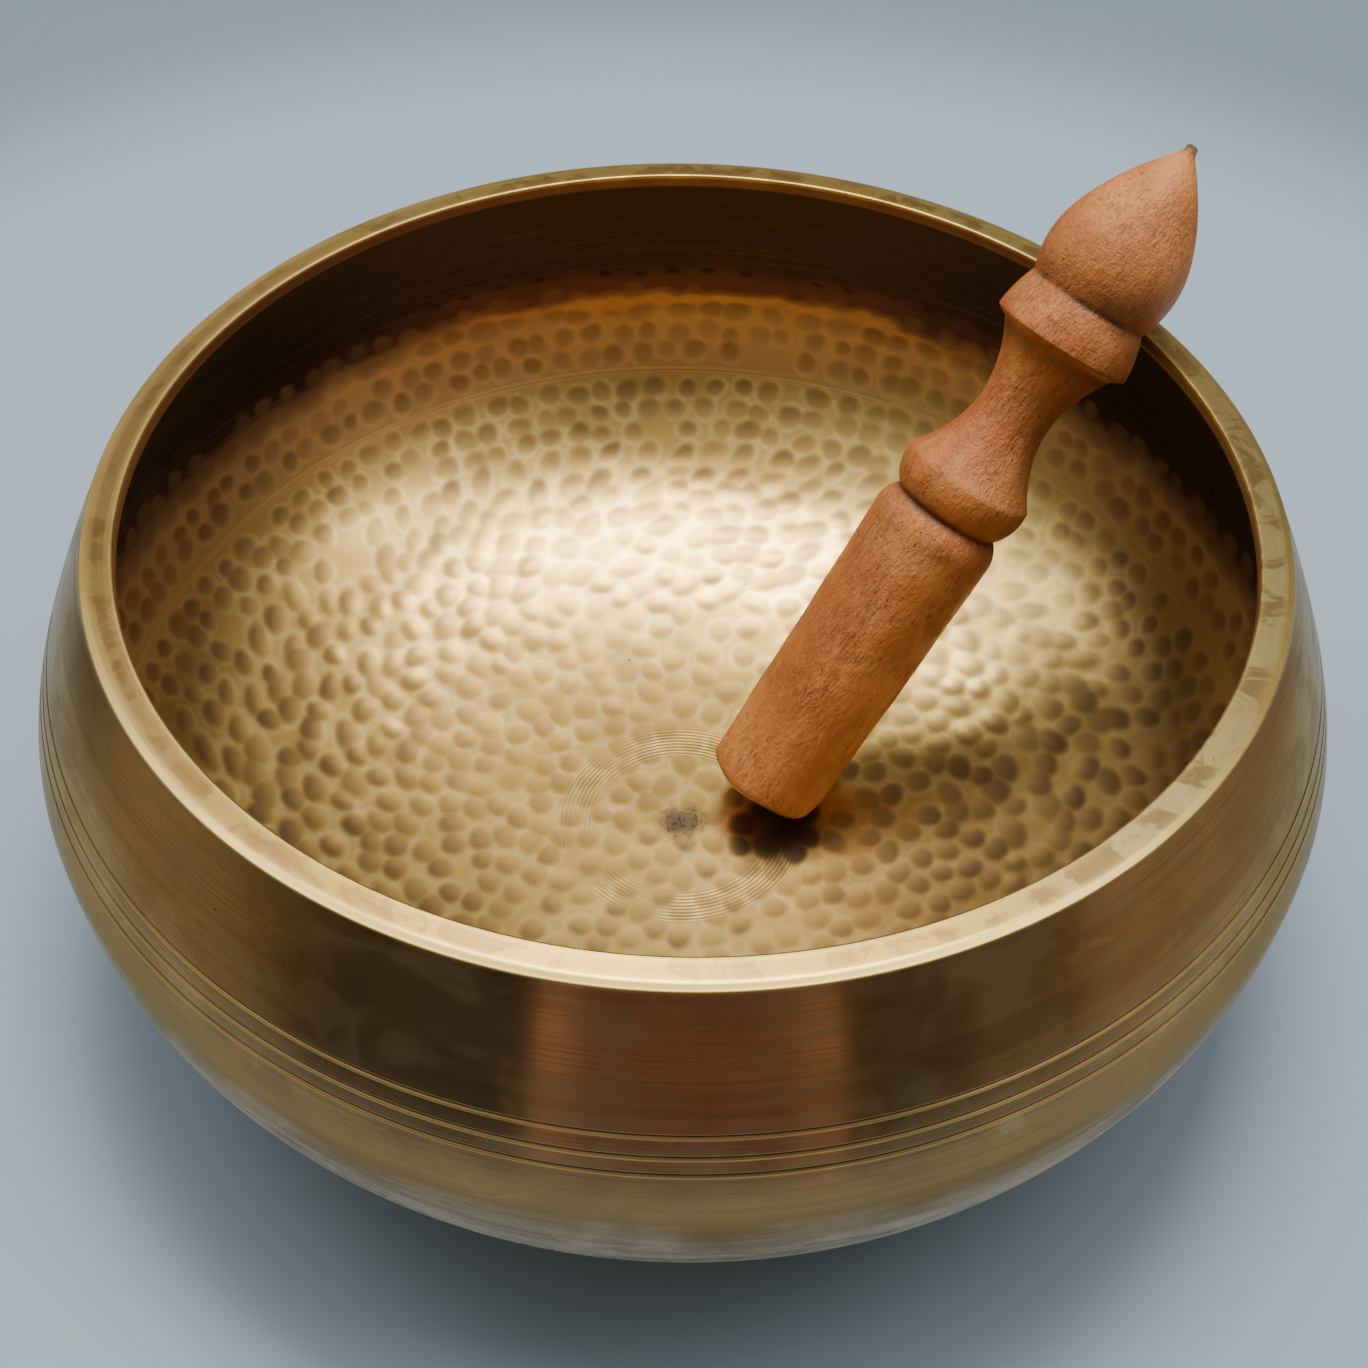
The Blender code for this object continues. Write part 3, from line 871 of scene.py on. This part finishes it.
# The low ripples left by the beating: length in metres, heading and shift in radians
RIPPLES = ((0.017, 0.3, 0.0), (0.023, 1.4, 1.0), (0.013, 2.3, 2.0), (0.031, 2.9, 4.0))
RIPPLE_HEIGHT = 0.00007
# The rounded turn from floor to wall, where they are strongest: radius, height and half width
KNEE = (0.100, 0.010, 0.020)


def waves(surface):
    """Low, wide unevenness, in metres: the ripples cross each other, and the longer ones are higher."""
    x, y, z = surface[..., 0], surface[..., 1], surface[..., 2]
    total = np.zeros(x.shape)
    for length, turn, shift in RIPPLES:
        across = x * math.cos(turn) + y * math.sin(turn) + 0.8 * z
        bend = 1.3 * np.sin((x * math.sin(turn) - y * math.cos(turn)) / (0.8 * length) + shift)
        total += length * np.sin(2.0 * math.pi * across / length + bend + shift)
    return RIPPLE_HEIGHT * total / sum(ripple[0] for ripple in RIPPLES)


def make_bowl():
    """The whole bowl in one closed mesh, with its inside, lip and outside in their own finishes."""
    random = Random(SEED)
    inner = resample(inside_curve(), ROW_STEP)[1:]
    length = curve_length(np.concatenate([[[0.0, WALL]], inner]))[1:]
    surface = turn_grid(inner, SEGMENTS)
    height, cup, edge = beat(surface, length, hammer_marks(random, inner, length))
    beaten = np.clip((BEATEN_TOP - inner[:, 1]) / BEATEN_FADE, 0.0, 1.0)[:, None]
    slope = 1.0 + 0.8 * bell(np.hypot(inner[:, 0] - KNEE[0], inner[:, 1] - KNEE[1]), KNEE[2])[:, None]
    height = soften(height, CUP_SOFTENING) + waves(surface) * beaten * slope
    surface = surface + turn_grid(profile_normals(inner), SEGMENTS) * height[..., None]
    lip, lip_wear_and_highlight = lip_curve()
    outside, outside_wear_and_highlight, outside_darkened = outside_curve()
    rest = np.concatenate([lip, outside])
    grid = np.concatenate([surface, turn_grid(rest, SEGMENTS)])
    blank = np.zeros((len(rest), SEGMENTS))
    wear_and_highlight = np.concatenate([np.zeros(len(inner)), lip_wear_and_highlight, outside_wear_and_highlight])
    darkened = np.concatenate([np.zeros(len(inner) + len(lip)), outside_darkened])
    masks = {"cup": np.concatenate([cup, blank]), "edge": np.concatenate([edge, blank]),
             "wear_and_highlight": np.repeat(wear_and_highlight[:, None], SEGMENTS, 1),
             "darkened": np.repeat(darkened[:, None], SEGMENTS, 1)}
    mesh = closed_mesh("bowl_shell", grid, masks)
    inner_rows, lip_rows = len(inner), len(lip)
    band = np.repeat(np.arange(len(grid) - 1), SEGMENTS)
    band = np.concatenate([band, np.zeros(SEGMENTS), np.full(SEGMENTS, len(grid))])
    index = np.where(band < inner_rows, 0, np.where(band < inner_rows + lip_rows - 1, 1, 2))
    bowl = add_piece("bowl_shell", mesh, bronze_inside())
    mesh.materials.append(bronze_lip())
    mesh.materials.append(bronze_outside())
    mesh.polygons.foreach_set("material_index", index.astype(np.int32))
    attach(bowl, "bowl")
    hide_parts("bowl")
    return bowl


def bow(start, end, sag, steps):
    """Points after start up to end, bowed out from the straight line by sag."""
    t = np.linspace(0.0, 1.0, steps + 1)[1:]
    (s0, r0), (s1, r1) = start, end
    chord = math.hypot(s1 - s0, r1 - r0)
    lift = sag * 4.0 * t * (1.0 - t)
    return np.stack([s0 + (s1 - s0) * t - (r1 - r0) / chord * lift,
                     r0 + (r1 - r0) * t + (s1 - s0) / chord * lift], 1)


# The striker's profile as (distance along it, radius): its foot, then the end of each run, how far
# that run bows out, and in how many steps, and last the stub at the tip
STRIKER_START = ((0.0, 0.004), (0.0, 0.0090), (0.0, 0.0132), (0.0004, 0.0138), (0.0012, 0.0143))
STRIKER_RUNS = (
    ((0.0755, 0.0156), 0.0, 60),        # barrel
    ((0.0827, 0.0129), 0.0010, 18),     # groove
    ((0.0923, 0.0159), 0.0012, 20),     # bead
    ((0.1276, 0.0142), -0.0062, 46),    # waist
    ((0.1289, 0.0165), 0.0, 8),         # underside of the collar
    ((0.1292, 0.0167), 0.0, 2),         # edge of the collar
    ((0.1394, 0.0142), 0.0004, 22),     # collar, up to the groove
    ((0.1580, 0.0139), 0.0018, 28),     # lower half of the finial
    ((0.1760, 0.0020), 0.0009, 30),     # upper half
)
STRIKER_STUB = ((0.1770, 0.0014), (STRIKER_LENGTH - 0.0004, 0.0012), (STRIKER_LENGTH, 0.0006))


def striker_curve():
    """The stick's profile, from its foot to its tip."""
    parts = [np.array(STRIKER_START)]
    start = STRIKER_START[-1]
    for end, sag, steps in STRIKER_RUNS:
        parts.append(bow(start, end, sag, steps))
        start = end
    return np.concatenate([*parts, np.array(STRIKER_STUB)])


# Darkening on the striker: place along the stick, spread and strength. At the foot's edge, in the grooves
# and under the collar it is painted shade; elsewhere it is dirt and stains.
STRIKER_SHADE_AND_DIRT = (
    (0.0, 0.0010, 1.0),                 # the edge of its foot, painted shade
    (0.0829, 0.0011, 0.9),              # the groove above the barrel, painted shade
    (0.1266, 0.0024, 0.45),             # under the collar, painted shade
    (0.1396, 0.0009, 0.9),              # the groove above the collar, painted shade
    (0.1415, 0.0035, 0.45),             # the foot of the finial
    (STRIKER_LENGTH, 0.0016, 0.8),      # the stub at the tip
)
PARED_RISE, PARED_DEPTH, PARED_FLATS = 0.0075, 0.0009, 5.0      # the flats at the striker's foot
STUB_START, STUB_BLEND, STUB_DEPTH = 0.1745, 0.004, 0.00018     # the rough stub left by the lathe


def whittled(grid):
    """The turned stick made slightly uneven, with its lower edge pared in flats by a knife."""
    s, radius = grid[..., 2], np.hypot(grid[..., 0], grid[..., 1])
    turn = np.arctan2(grid[..., 1], grid[..., 0])
    uneven = 0.00010 * np.sin(2.0 * turn + 42.0 * s) + 0.00006 * np.sin(3.0 * turn - 95.0 * s + 1.0)
    uneven += 0.00005 * np.sin(5.0 * turn + 210.0 * s) + 0.00004 * np.sin(390.0 * s)
    uneven = uneven * np.clip(radius / 0.010, 0.0, 1.0)
    pared = np.clip(1.0 - s / PARED_RISE, 0.0, 1.0) ** 2 * (0.5 + 0.5 * np.cos(PARED_FLATS * turn + 0.7))
    stub = np.clip((s - STUB_START) / STUB_BLEND, 0.0, 1.0)
    stub = stub * (np.sin(4.0 * turn + 1.0) + np.sin(3.0 * turn))
    factor = 1.0 + (uneven - PARED_DEPTH * pared + STUB_DEPTH * stub) / radius
    return np.concatenate([grid[..., :2] * factor[..., None], grid[..., 2:]], -1)


def make_striker():
    """The striker, turned upright from its profile and then leant to where it stands."""
    profile = striker_curve()[::-1, ::-1]
    grid = whittled(turn_grid(profile, STRIKER_SEGMENTS))
    darkened = np.zeros(len(profile))
    for place, spread, strength in STRIKER_SHADE_AND_DIRT:
        darkened = np.maximum(darkened, strength * bell(profile[:, 1] - place, spread))
    mesh = closed_mesh("striker_stick", grid, {"darkened": np.repeat(darkened[:, None], STRIKER_SEGMENTS, 1)})
    # the grain keeps to the stick however it stands
    places = np.empty(3 * len(mesh.vertices), np.float32)
    mesh.vertices.foreach_get("co", places)
    mesh.attributes.new("grain", "FLOAT_VECTOR", "POINT").data.foreach_set("vector", places)
    flat = math.cos(STRIKER_RISE)
    heading = Vector((flat * math.cos(STRIKER_HEADING), flat * math.sin(STRIKER_HEADING),
                      math.sin(STRIKER_RISE)))
    mesh.transform(Matrix.Translation(STRIKER_FOOT) @ heading.to_track_quat("Z", "Y").to_matrix().to_4x4())
    striker = add_piece("striker_stick", mesh, hardwood())
    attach(striker, "striker")
    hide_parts("striker")
    return striker


# ---- stage

TABLE_RADIUS = 0.30             # the part of the floor that the polished metal mirrors
FLOOR_SPREAD = 20.0             # how many times wider the whole floor is
FLOOR_DARK = (0.385, 0.495, 0.595)
FLOOR_LIGHT = (0.425, 0.545, 0.650)
FLOOR_FAR = (0.23, 0.30, 0.37)
FLOOR_FADE = (0.335, 0.450)     # distance from the bowl's axis over which the floor darkens: a painted falloff of the light


def make_floor():
    """A plain floor in two pieces, a disc under the bowl and the wide ring round it."""
    n = Nodes(bpy.data.materials.new("floor"))
    place = n.own_place()
    cloud = n.noise(place, 6.0, 4.0, 0.5)
    colour = n.mix(cloud, FLOOR_DARK, FLOOR_LIGHT)
    # the far floor is painted darker, a painted falloff of the light
    n.set("Base Color", n.mix(n.ramp(n.length(place), *FLOOR_FADE), colour, FLOOR_FAR))
    n.set("Roughness", 0.50)
    n.set("Specular IOR Level", 0.3)
    bpy.ops.mesh.primitive_circle_add(vertices=96, radius=TABLE_RADIUS, fill_type="NGON")
    table = bpy.context.object
    table.name = "floor_near"
    bpy.ops.mesh.primitive_circle_add(vertices=96, radius=TABLE_RADIUS)
    surround = bpy.context.object
    surround.name = "floor_far"
    bpy.ops.object.mode_set(mode="EDIT")
    bpy.ops.mesh.extrude_region_move()
    bpy.ops.transform.resize(value=(FLOOR_SPREAD, FLOOR_SPREAD, 1.0))
    bpy.ops.object.mode_set(mode="OBJECT")
    surround.visible_glossy = False
    for piece in (table, surround):
        piece.data.materials.append(n.owner)


# The room by azimuth round the bowl, in degrees from the near side towards +X, near the horizon
ROOM = (
    (-180, (0.14, 0.14, 0.14)),
    (-115, (0.16, 0.155, 0.14)),
    (-95, (0.32, 0.285, 0.20)),
    (-72, (0.24, 0.21, 0.14)),
    (-56, (0.10, 0.085, 0.060)),
    (-50, (0.062, 0.055, 0.042)),
    (-21, (0.046, 0.042, 0.034)),
    (-20, (0.38, 0.25, 0.20)),
    (-15, (0.30, 0.19, 0.155)),
    (-13, (0.18, 0.105, 0.090)),
    (16, (0.20, 0.115, 0.095)),
    (18, (0.32, 0.21, 0.16)),
    (24, (0.34, 0.23, 0.17)),
    (25, (0.076, 0.070, 0.050)),
    (42, (0.080, 0.070, 0.050)),
    (45, (0.14, 0.12, 0.09)),
    (60, (0.18, 0.155, 0.115)),
    (68, (0.34, 0.29, 0.215)),
    (100, (0.31, 0.28, 0.225)),
    (128, (0.23, 0.22, 0.20)),
    (155, (0.16, 0.16, 0.155)),
    (180, (0.14, 0.14, 0.14)),
)
# Brightness of the sky by height: sine of the elevation, and a factor
ROOM_RISE = ((0.0, 0.0), (0.20, 0.19), (0.55, 0.42), (0.80, 0.62), (1.0, 1.00))
ROOM_TOP = 0.30                 # sine of the elevation at which the walls have given way to the sky
SKY_TINT = (1.0, 0.97, 0.92)


def fill_stops(node, stops):
    """Gives a colour ramp its stops, each a position and a colour."""
    elements = node.color_ramp.elements
    for i, (position, colour) in enumerate(stops):
        stop = elements[i] if i < 2 else elements.new(1.0)
        stop.position = position
        stop.color = (*colour, 1.0)


def make_world():
    """The studio: walls in soft zones low down, and a sky that grows brighter upwards."""
    n = Nodes(bpy.data.worlds.new("studio"))
    bpy.context.scene.world = n.owner
    x, y, z = n.parts(n.add("TexCoord").outputs["Generated"])
    azimuth = n.math("ARCTAN2", x, n.times(y, -1.0))
    around = n.plus(n.math("DIVIDE", azimuth, 2.0 * math.pi), 0.5)
    room = n.add("ValToRGB", {0: around})
    fill_stops(room, [(degrees / 360.0 + 0.5, colour) for degrees, colour in ROOM])
    rise = n.add("ValToRGB", {0: z})
    fill_stops(rise, [(sine, [level * part for part in SKY_TINT]) for sine, level in ROOM_RISE])
    # the sky is brighter towards the sides, and darker towards the back and in a band in the middle
    sides = n.line(0.92, n.times(x, x), 2.0)
    sides = n.less(sides, n.times(x, 0.25))
    sides = n.times(sides, n.rest(n.ramp(y, 0.05, 0.55), 0.45))
    right = n.times(n.ramp(x, 0.45, 0.75), n.times(y, 1.1))
    sides = n.times(sides, n.less(1.0, right))
    middle = n.ramp(n.math("ABSOLUTE", n.less(x, 0.20)), 0.42, 0.12)
    sides = n.times(sides, n.rest(middle, 0.22))
    sky = n.add("VectorMath", {0: rise.outputs[0], "Scale": sides}, operation="SCALE").outputs[0]
    colour = n.mix(n.ramp(z, 0.0, ROOM_TOP), room.outputs[0], sky)
    background = n.tree.nodes["Background"]
    n.join(colour, background.inputs["Color"])
    # the room lights matt surfaces less than it shows in the polished ones, least of all from in front
    matt = n.add("LightPath").outputs["Is Diffuse Ray"]
    held_back = n.line(0.48, n.ramp(y, 0.20, -0.50), 0.49)
    n.join(n.rest(matt, held_back), background.inputs["Strength"])


def make_softbox(name, place, size, turn, radiance, colour=(1.0, 1.0, 1.0)):
    """A level soft rectangle overhead, shining down, turned from above by an angle in degrees."""
    light = bpy.data.lights.new(name, "AREA")
    light.shape = "RECTANGLE"
    light.size, light.size_y = size
    light.energy = radiance * math.pi * size[0] * size[1]
    light.color = colour
    lamp = bpy.data.objects.new(name, light)
    lamp.location = place
    lamp.rotation_euler = (0.0, 0.0, math.radians(turn))
    bpy.context.scene.collection.objects.link(lamp)


def make_camera():
    """The camera stands in front of the bowl and looks down into it."""
    data = bpy.data.cameras.new("camera")
    data.lens = CAMERA_LENS
    data.sensor_width = CAMERA_SENSOR
    data.clip_start = 0.01
    camera = bpy.data.objects.new("camera", data)
    bpy.context.scene.collection.objects.link(camera)
    place = Vector((0.0, -CAMERA_DISTANCE * math.cos(CAMERA_ELEVATION),
                    HEIGHT + CAMERA_DISTANCE * math.sin(CAMERA_ELEVATION)))
    pitch = Matrix.Rotation(0.5 * math.pi - CAMERA_ELEVATION + CAMERA_TILT, 4, "X")
    camera.matrix_world = Matrix.Translation(place) @ pitch @ Matrix.Rotation(CAMERA_ROLL, 4, "Z")
    bpy.context.scene.camera = camera


def make_lights():
    """A bright warm softbox a little behind the bowl, and a wide dim one above both."""
    make_softbox("softbox", place=(0.00, 0.29, 1.2), size=(0.58, 0.40), turn=-20.0, radiance=15.9,
                 colour=SKY_TINT)
    make_softbox("wide_softbox", place=(0.02, 0.12, 1.5), size=(3.3, 0.62), turn=-10.0, radiance=2.2)


make_bowl()
make_striker()
make_floor()
make_world()
make_lights()
make_camera()
